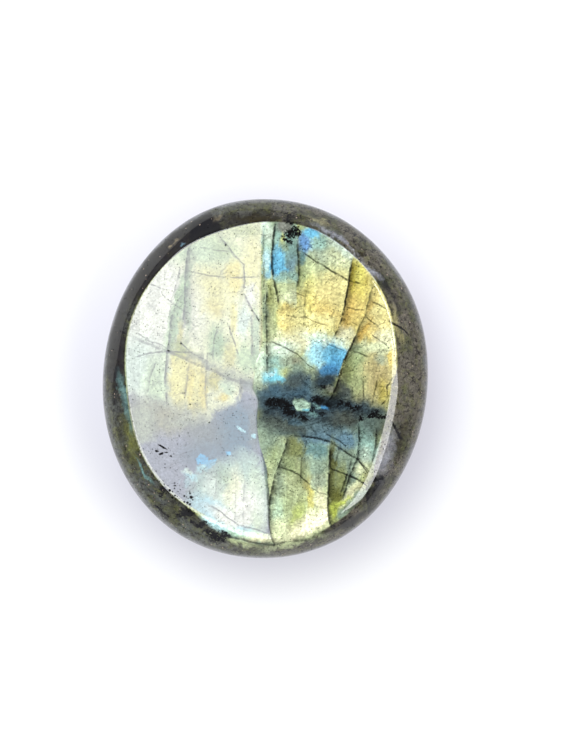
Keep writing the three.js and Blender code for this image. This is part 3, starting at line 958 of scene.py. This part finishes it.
class Canvas:
    """A place on the stone in millimetres, for laying patches of colour."""

    def __init__(self, place):
        self.place = place
        self.turned = {}

    def apart(self, patch):
        """How far a place is from the patch's middle, with 1 at its reach.

        The place is turned by 0 degrees as well, because Cycles then keeps the patches in their order
        and doesn't run out of room for their masks.
        """
        if patch.turn not in self.turned:
            self.turned[patch.turn] = self.place.turned(patch.turn)
        turn = math.radians(-patch.turn)
        x = patch.x * math.cos(turn) - patch.y * math.sin(turn)
        y = patch.x * math.sin(turn) + patch.y * math.cos(turn)
        scale = (1 / patch.reach_x, 1 / patch.reach_y, 0)
        shift = (-x / patch.reach_x, -y / patch.reach_y, 0)
        return self.turned[patch.turn].times_plus(scale, shift).size()

    def lay(self, colour, patches, colours):
        """The colour with these patches laid over it in turn."""
        for patch in patches:
            mask = self.apart(patch).step(1 + patch.edge, 1 - patch.edge, patch.strength)
            colour = mask.blend(colour, colours[patch.colour])
        return colour

    def any_of(self, patches):
        """1 inside any of these patches, which have crisp edges."""
        return functools.reduce(Wire.least, map(self.apart, patches)).step(*CRISP_EDGE)


def flipped(points):
    return [(b, a) for a, b in points]


def beside(points, along, across):
    """How far a place is to the right of this line, or above it."""
    return across - along.follow(points)


# A line's core reaches this far to each side, and further the darker it is
CORE_REACH = 0.04
CORE_REACH_PER_SHADE = 0.03

# Beyond the core, the shade settles over this far to the left and right
SETTLES_LEFT = 0.1
SETTLES_RIGHT = 0.13

# What is left of the shade at its reach, and the part of a line over which each of its ends fades
FAR_SHARE = 0.3
END_SHARE = 0.1


def add_line(depth, line, along, across, points):
    """The depth with this line's shadow: a dark core, wider the darker it is, with softer shade beside it."""
    core = CORE_REACH + CORE_REACH_PER_SHADE * line.core
    profile = [
        (-line.reach, 0), (-core - SETTLES_LEFT, line.left), (-core, line.core), (core, line.core),
        (core + SETTLES_RIGHT, line.right), (line.reach, line.right * FAR_SHARE), (line.reach * 2, 0),
    ]
    start, end = points[0][0], points[-1][0]
    fade = (end - start) * END_SHARE
    window = along.follow([(start, 0), (start + fade, 1), (end - fade, 1), (end, 0)])
    return beside(points, along, across).follow(profile).times_plus(window, depth)


def line_depth(x, y):
    """Shade from all seams and cracks."""
    depth = 0
    for line in UPRIGHT_LINES.values():
        depth = add_line(depth, line, y, x, flipped(line.points))
    for line in LEVEL_LINES.values():
        depth = add_line(depth, line, x, y, line.points)
    return depth


# Noise, as how many clouds lie in a millimetre, how many finer layers they have and how strong these are.
# Each of the first three moves a place by up to half its reach.
DRIFT = (0.45, 2, 0.5)
DRIFT_REACH = (1.5, 1.5, 1.5)
FRAY = (2.2, 3, 0.6)
FRAY_REACH = (0.5, 0.5, 0.5)
SHIVER = (1.6, 2, 0.5)
SHIVER_REACH = (0.28, 0.28, 0)
MOTTLE = (2.7, 2, 0.7)
MOTTLE_DEPTH = 1.7
BODY_CLOUDS = (0.3, 3)

# Masks cut from noise, which turn from nothing to the most between a low and a high value of it
Clouds = namedtuple("Clouds", "scale detail roughness low high most", defaults=(1,))

UNBROKEN_LINES = Clouds(0.9, 3, 0.7, 0.28, 0.58, 1.35)
SPECKED = Clouds(0.4, 2, 0.6, 0.32, 0.52)
GRIT = Clouds(1.1, 4, 0.75, 0.47, 0.6, 1.1)
CRAZED = Clouds(0.4, 1, 0.5, 0.42, 0.6)
UNBROKEN_BLOTS = Clouds(3, 3, 0.8, 0.64, 0.57)
OLIVE_MOTTLE = Clouds(0.9, 3, 0.7, 0.48, 0.62, 0.28)
DARK_MOTTLE = Clouds(1.3, 4, 0.75, 0.5, 0.62, 0.8)

# Scattered grains, as cells in a millimetre, the widest as a part of its cell, and the share of full cells
SPECKS = (3.5, 0.4, 0.46)
SCATTERED_PITS = (2.1, 0.52, 0.95)
FLECKS = (2.2, 0.32, 0.14)
GRAIN_EDGE = 0.07

# Long grains, with their turn in degrees, their cells in a millimetre each way and how dark they are
Needles = namedtuple("Needles", "turn spacing widest share dark")

DARK_NEEDLES = Needles(-38, (3.4, 0.9, 1), 0.26, 0.3, 1.5)
SLIVERS = Needles(28, (0.8, 3.6, 1), 0.24, 0.25, 1.2)

# Blocky facets, crumbs and stripes, by how many lie in a millimetre
FACET_SPACING = (1.3, 0.7, 1)
FACET_REACH = (0.5, 0.5, 0)
SHADED_FACET_SPACING = (1.2, 0.6, 1)
FACET_DEPTH = 0.34
CRUMBS_PER_MM = 3.4
CRUMB_REACH = (0.75, 0.75, 0)
CRUMB_DEPTH = 0.8
STRIPES_PER_MM = 0.6
STRIPE_DEPTH = 0.42

# Hairlines run between stretched cells, and darken within this distance of a cell's border
HAIRLINE_TURN = 28
HAIRLINE_SPACING = (0.16, 0.6, 0.3)
HAIRLINE_EDGE = (0.035, 0.01)
HAIRLINE_DEPTH = 0.6

# How grit lies, how dark a speck is, and how much of the grain the veil hides
GRIT_TURN = 15
GRIT_SPACING = (0.6, 1.7, 1)
SPECK_DEPTH = 2.8
HIDDEN_BY_VEIL = 0.25

# How far the outlines of inclusions and pits are moved by the fray and the crumbs
BLOT_FRAY = (1.4, 1.4, 0)
BLOT_CRUMBS = (0.6, 0.6, 0)
PIT_FRAY = (0.8, 0.8, 0)

# How much light is left at a depth of 1
SHADE = 0.47


def cut(place, clouds):
    """A mask cut from noise over this place."""
    noise = place.noise(clouds.scale, clouds.detail, clouds.roughness)
    return noise.step(clouds.low, clouds.high, clouds.most)


def sway(random, reach):
    """A random vector from 0 to 1 as a shift to either side, this wide in all."""
    return (random - (0.5, 0.5, 0.5)) * reach


def grains(place, scale, widest, share):
    """Scattered specks of different sizes, in this share of the cells, up to this part of a cell wide."""
    sizes = place.lots(scale).part(0).times_plus(widest / share, widest - widest / share)
    return (sizes - place.cells(scale)).step(0, GRAIN_EDGE)


def needles(place, kind):
    return grains(place.turned(kind.turn) * kind.spacing, 1, kind.widest, kind.share) * kind.dark


def fine_depth(place, warped, x, on_face):
    """Shade from the grain of the stone: mottles, stripes, facets, needles and hairlines."""
    depth = place.noise(*MOTTLE).times_plus(MOTTLE_DEPTH, -MOTTLE_DEPTH / 2)
    stripes = x.node("TexVoronoi", {"voronoi_dimensions": "1D"}, {"W": x, "Scale": STRIPES_PER_MM}, 1).part(0)
    depth = (stripes * STRIPE_DEPTH - STRIPE_DEPTH / 2).times_plus(on_face, depth)
    facets = (warped * SHADED_FACET_SPACING).lots(1).part(1)
    depth = facets.times_plus(FACET_DEPTH, depth - FACET_DEPTH / 2)
    dark_needles = needles(place, DARK_NEEDLES)
    slivers = needles(place, SLIVERS)
    borders = (warped.turned(HAIRLINE_TURN) * HAIRLINE_SPACING).cells(1, "DISTANCE_TO_EDGE")
    hairlines = borders.step(*HAIRLINE_EDGE, HAIRLINE_DEPTH) * cut(place, CRAZED)
    return hairlines + depth + dark_needles + slivers


def veil_mask(x, y, z):
    """1 on the part of the face that mirrors the left softbox."""
    left_half = beside(flipped(VEIL_EDGE), y, x).step(VEIL_BLUR, -VEIL_BLUR)
    return left_half * beside(VEIL_ENDS, y, z).step(-VEIL_END_BLUR, VEIL_END_BLUR)


def face_mask(fray, x, y, z):
    """1 on the face, where the flash is, and 0 on the body."""
    glow = x.follow(GLOW_SPAN) * y.follow(GLOW_ROWS)
    rises = x.follow(RIGHT_EDGE) * y.follow(RIGHT_EDGE_RISES)
    low_end = glow.times_plus(-GLOW_FADES, FLASH_ENDS[0])
    return (fray.part(0) * FLASH_FRAY - rises + z).step(low_end, FLASH_ENDS[1])


def face_colour(canvas, x, y, left_half):
    """The flash across the face: blocks between seams, each with its own clouds of colour."""
    def right_of(name):
        return beside(flipped(UPRIGHT_LINES[name].points), y, x).step(-BLOCK_BLUR, BLOCK_BLUR)

    def in_block(colour, mask, field):
        return mask.blend(colour, canvas.lay(colour, field, CLEAR))

    past_gold, past_amber, past_cream = map(right_of, ("gold seam", "amber seam", "cream seam"))
    colour = canvas.lay(CLEAR["green gold"], RIGHT_FIELD, CLEAR)
    colour = canvas.lay(colour, WARM_CENTRE, CLEAR)
    colour = in_block(colour, 1 - right_of("blue seam"), UPPER_FIELD)
    colour = in_block(colour, 1 - right_of("first seam"), MINT_STRIP)
    colour = in_block(colour, past_gold, LAYERED_FIELD)
    colour = in_block(colour, 1 - past_amber, MIDDLE_FIELD)
    colour = in_block(colour, past_amber, EAST_FIELD)
    colour = canvas.lay(colour, DARK_BAND, CLEAR)
    colour = in_block(colour, 1 - past_cream, LOW_FIELD)
    colour = in_block(colour, past_cream, SOUTH_EAST_FIELD)
    left = canvas.lay(VEILED["ivory"], LEFT_FIELD, VEILED)
    grey = canvas.lay(VEILED["mauve"], GREY_FIELD, VEILED)
    grey = canvas.lay(grey, FLASH_FIELD, VEILED)
    above_shore = beside(GREY_SHORE, canvas.place.part(0), canvas.place.part(1))
    below_shore = above_shore.step(SHORE_BLUR, -SHORE_BLUR)
    return left_half.blend(colour, below_shore.blend(left, grey))


# The body turns from grey to brown from left to right, with olive clouds in it
BROWN_SPAN = (-16, 16)
OLIVE_CLOUDS = (0.45, 0.65)

# Beside the face it is darkest, as painted shade, between these heights with the clouds' own added, and less
# so on the right
PAINTED_SHADE_HEIGHTS = (15.6, 17.8)
CLOUD_HEIGHT = 3
PAINTED_SHADE_SPAN = (19, 6)
PAINTED_SHADE_STRENGTH = 0.5

# At the shoulder it is palest, as a painted sheen, by height and by the clouds there
PAINTED_SHEEN_BAND = [(11.2, 0), (12.9, 0.6), (13.9, 0)]
SHEEN_CLOUDS = (0.3, 0.65, 1.2)

# A pattern is read from this far off where it must not match another of the same kind
FAR_OFF = (0, 20, 0)
FURTHER_OFF = (0, 40, 0)


def body_colour(place, canvas, z):
    """The stone beside its flash: brown and olive greys, with painted shade near the face and a painted sheen
    at the shoulder.
    """
    clouds = place.noise(*BODY_CLOUDS)
    colour = place.part(0).step(*BROWN_SPAN).blend(ON_RIM["rim grey"], ON_RIM["rim brown"])
    colour = clouds.step(*OLIVE_CLOUDS).blend(colour, ON_RIM["rim olive"])
    # Painted shade: the rim is darker near the face, by height, and less so on the right
    shade_on_left = place.part(0).step(*PAINTED_SHADE_SPAN, PAINTED_SHADE_STRENGTH)
    painted_shade_by_face = clouds.times_plus(CLOUD_HEIGHT, z).step(*PAINTED_SHADE_HEIGHTS, shade_on_left)
    colour = painted_shade_by_face.blend(colour, ON_RIM["rim dark"])
    colour = cut(place + FAR_OFF, OLIVE_MOTTLE).blend(colour, ON_RIM["olive"])
    colour = cut(place, DARK_MOTTLE).blend(colour, ON_RIM["rim dark"])
    colour = canvas.lay(colour, RIM_PATCHES, ON_RIM)
    colour = grains(place + FURTHER_OFF, *FLECKS).blend(colour, ON_RIM["fleck"])
    # Painted sheen: a paler band along the shoulder
    pale = z.follow(PAINTED_SHEEN_BAND) * clouds.step(*SHEEN_CLOUDS)
    return pale.blend(colour, ON_RIM["rim sheen"])


# The stone itself is dull, and its polish is a clear coat that bends light as labradorite does. The
# table is matt, and its glow is painted light.
STONE_FINISH = {"Roughness": 0.5, "Specular IOR Level": 0, "Coat Roughness": 0.03, "Coat IOR": 1.56}
TABLE_FINISH = {"Base Color": (0.15, 0.15, 0.15, 1), "Roughness": 0.7, "Emission Strength": 1}


def new_material(name, finish):
    """A material whose shader has these values, and the shader."""
    material = bpy.data.materials.new(name)
    material.use_nodes = True
    shader = material.node_tree.nodes["Principled BSDF"]
    for socket, value in finish.items():
        shader.inputs[socket].default_value = value
    return material, shader


def place_in(material):
    """Object coordinates in millimetres."""
    coordinates = material.node_tree.nodes.new("ShaderNodeTexCoord")
    return Wire(coordinates.outputs["Object"]) * (1 / MM, 1 / MM, 1 / MM)


def feed(node, socket, wire):
    node.id_data.links.new(wire.socket, node.inputs[socket])


def labradorite():
    material, shader = new_material("labradorite", STONE_FINISH)
    place = place_in(material)
    drift = sway(place.noise(*DRIFT, output=1), DRIFT_REACH)
    fray = sway(place.noise(*FRAY, output=1), FRAY_REACH)
    facets = sway((place * FACET_SPACING).lots(1), FACET_REACH)
    shiver = sway(place.noise(*SHIVER, output=1), SHIVER_REACH)
    clouds = Canvas(place + drift + fray + facets)
    crumbs = sway(place.lots(CRUMBS_PER_MM), CRUMB_REACH)
    crisp = Canvas(fray.times_plus(BLOT_FRAY, crumbs.times_plus(BLOT_CRUMBS, place)))
    exact = place + shiver
    x, y, z = exact.part(0), exact.part(1), place.part(2)
    left_half = veil_mask(x, y, z)
    on_face = face_mask(fray, x, y, z)

    depth = line_depth(x, y) * cut(place, UNBROKEN_LINES)
    specks = grains(place, *SPECKS) * cut(place, SPECKED)
    fine = crumbs.part(0).times_plus(CRUMB_DEPTH, fine_depth(place, place + drift, x, on_face))
    depth = specks.times_plus(SPECK_DEPTH, fine.times_plus(1 - left_half * HIDDEN_BY_VEIL, depth))
    grit = cut(place.turned(GRIT_TURN) * GRIT_SPACING, GRIT)
    depth = (grit * clouds.apart(GRITTY).step(*GRITTY_EDGE)).times_plus(on_face, depth)

    face = face_colour(clouds, x, y, left_half)
    # Painted highlight: a pale line along the lower left of the face's edge
    painted_edge_highlight = z.step(*EDGE_HIGHLIGHT) * left_half * y.follow(EDGE_HIGHLIGHT_ROWS)
    face = painted_edge_highlight.blend(face, VEILED["white"])
    colour = on_face.blend(body_colour(place, clouds, z), face)
    shade = combine("POWER", SHADE, depth)
    colour = colour.node("VectorMath", {"operation": "SCALE"}, {0: colour, "Scale": shade})
    pits = grains(place, *SCATTERED_PITS) * clouds.apart(PITTED).step(*PITTED_EDGE)
    pits = pits.most(Canvas(fray.times_plus(PIT_FRAY, place)).any_of(PITS))
    blots = crisp.any_of(BLOTS) * cut(place, UNBROKEN_BLOTS)
    # Blots are black inclusions; the pits are painted black as painted shade in their hollows
    colour = blots.most(pits).blend(colour, CLEAR["black"])

    feed(shader, "Base Color", colour)
    feed(shader, "Coat Weight", 1 - pits.most(specks))
    return material


# Softboxes over the stone, in metres from its middle, with a turn in degrees seen from above.
# The radiance is what the polish mirrors, and the tint its colour.
Panel = namedtuple("Panel", "name x y width length turn height radiance tint")

PANELS = (
    Panel("left softbox", -0.1995, 0.09, 0.372, 0.92, 2, 0.6, 7.6, (0.94, 0.98, 1.05)),
    Panel("right softbox", 0.26, -0.11, 0.19, 0.24, -20, 0.5, 8, (1, 1, 1)),
    Panel("right strip", 0.25, 0.09, 0.024, 0.16, 20, 0.5, 15, (1, 1, 1)),
    Panel("far softbox", 0.25, 0.34, 0.10, 0.26, 40, 0.5, 5, (0.8, 0.9, 1.1)),
)

CAMERA_PLACE = (2.6 * MM, 0.57 * MM, 0.682)
LENS_MM = 200

TABLE_WIDTH = 4

# The table's glow is painted light: less near the stone and least by its lower end, as painted shadow. The
# glow grows by these for each millimetre along x and y, and between two distances it turns into an even one.
GLOW_TINT = (1, 0.99, 1.11)
GLOW_IN_PAINTED_SHADOW = 0.585
GLOW_PER_X = 0.0004
GLOW_PER_Y = 0.0046
GLOW_FAR = (0.74, 0.74, 0.74, 1)
GLOW_GROWS = (27, 40)

# Brightness of the room by height, from the level of the table to straight up
ROOM = ((0.0, (0.34, 0.34, 0.42)), (0.45, (0.5, 0.5, 0.56)), (0.8, (0.1, 0.1, 0.11)))


def hang(name, data, place):
    """Adds this light or camera to the scene, at its place."""
    holder = bpy.data.objects.new(name, data)
    bpy.context.scene.collection.objects.link(holder)
    holder.location = place
    return holder


def add_panel(panel):
    """A flat softbox that shines straight down."""
    light = bpy.data.lights.new(panel.name, "AREA")
    light.shape = "RECTANGLE"
    light.size = panel.width
    light.size_y = panel.length
    light.color = panel.tint
    light.energy = panel.radiance * math.pi * panel.width * panel.length
    holder = hang(panel.name, light, (panel.x, panel.y, panel.height))
    holder.rotation_euler.z = math.radians(panel.turn)
    holder.visible_camera = False


def add_camera():
    lens = bpy.data.cameras.new("view from above")
    lens.lens = LENS_MM
    bpy.context.scene.camera = hang("view from above", lens, CAMERA_PLACE)


def add_table():
    deselect_all()
    bpy.ops.mesh.primitive_plane_add(size=TABLE_WIDTH)
    table = bpy.context.object
    table.name = "pale_table"
    material, shader = new_material("pale table", TABLE_FINISH)
    place = place_in(material)
    # Painted shadow: the glow is dimmer near the stone and towards its lower end
    painted_shadow_glow = (place.part(0) * GLOW_PER_X + place.part(1) * GLOW_PER_Y + GLOW_IN_PAINTED_SHADOW) * GLOW_TINT
    feed(shader, "Emission Color", place.size().step(*GLOW_GROWS).blend(painted_shadow_glow, GLOW_FAR))
    table.data.materials.append(material)


def set_room():
    room = bpy.data.worlds.new("studio")
    room.use_nodes = True
    bpy.context.scene.world = room
    tree = room.node_tree
    direction = Wire(tree.nodes.new("ShaderNodeTexCoord").outputs["Generated"])
    height = direction.part(2)
    shades = height.node("ValToRGB", None, {0: height})
    ramp = shades.socket.node.color_ramp
    while len(ramp.elements) < len(ROOM):
        ramp.elements.new(0.5)
    for element, (position, colour) in zip(ramp.elements, ROOM):
        element.position = position
        element.color = (*colour, 1)
    feed(tree.nodes["Background"], "Color", shades)
    bpy.context.scene.view_settings.view_transform = "Standard"


stone = make_stone()
stone.data.materials.append(labradorite())
add_table()
for panel in PANELS:
    add_panel(panel)
set_room()
add_camera()
